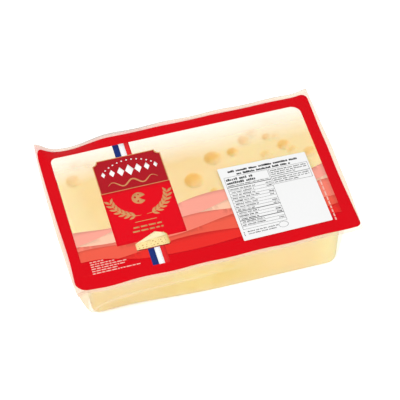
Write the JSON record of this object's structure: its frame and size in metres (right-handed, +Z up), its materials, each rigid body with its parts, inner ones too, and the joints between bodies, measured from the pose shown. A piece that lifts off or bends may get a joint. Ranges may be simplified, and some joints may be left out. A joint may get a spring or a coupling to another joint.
{
  "type": "packed cheese block",
  "caption": "Rectangular block of pale cheese with round eyes, sealed in clear film under a red and clear printed film, with a white paper label, lying flat.",
  "frame": {"origin": "under the middle of the pack, on the surface that it lies on", "axes": "+X along the pack's length, +Y from its front to its back, +Z up through the printed film"},
  "size_m": [0.173, 0.109, 0.0444],
  "materials": {
    "cheese": "pale yellow cheese, satin, seen through clear film",
    "clear_film": "clear glossy formed film",
    "printed_film": "glossy film printed in reds, with a clear window",
    "paper": "white coated label paper"
  },
  "bodies": {
    "root": {"wrapped_block": "cheese", "printed_film": "printed_film", "paper_label": "paper"}
  },
  "joints": []
}
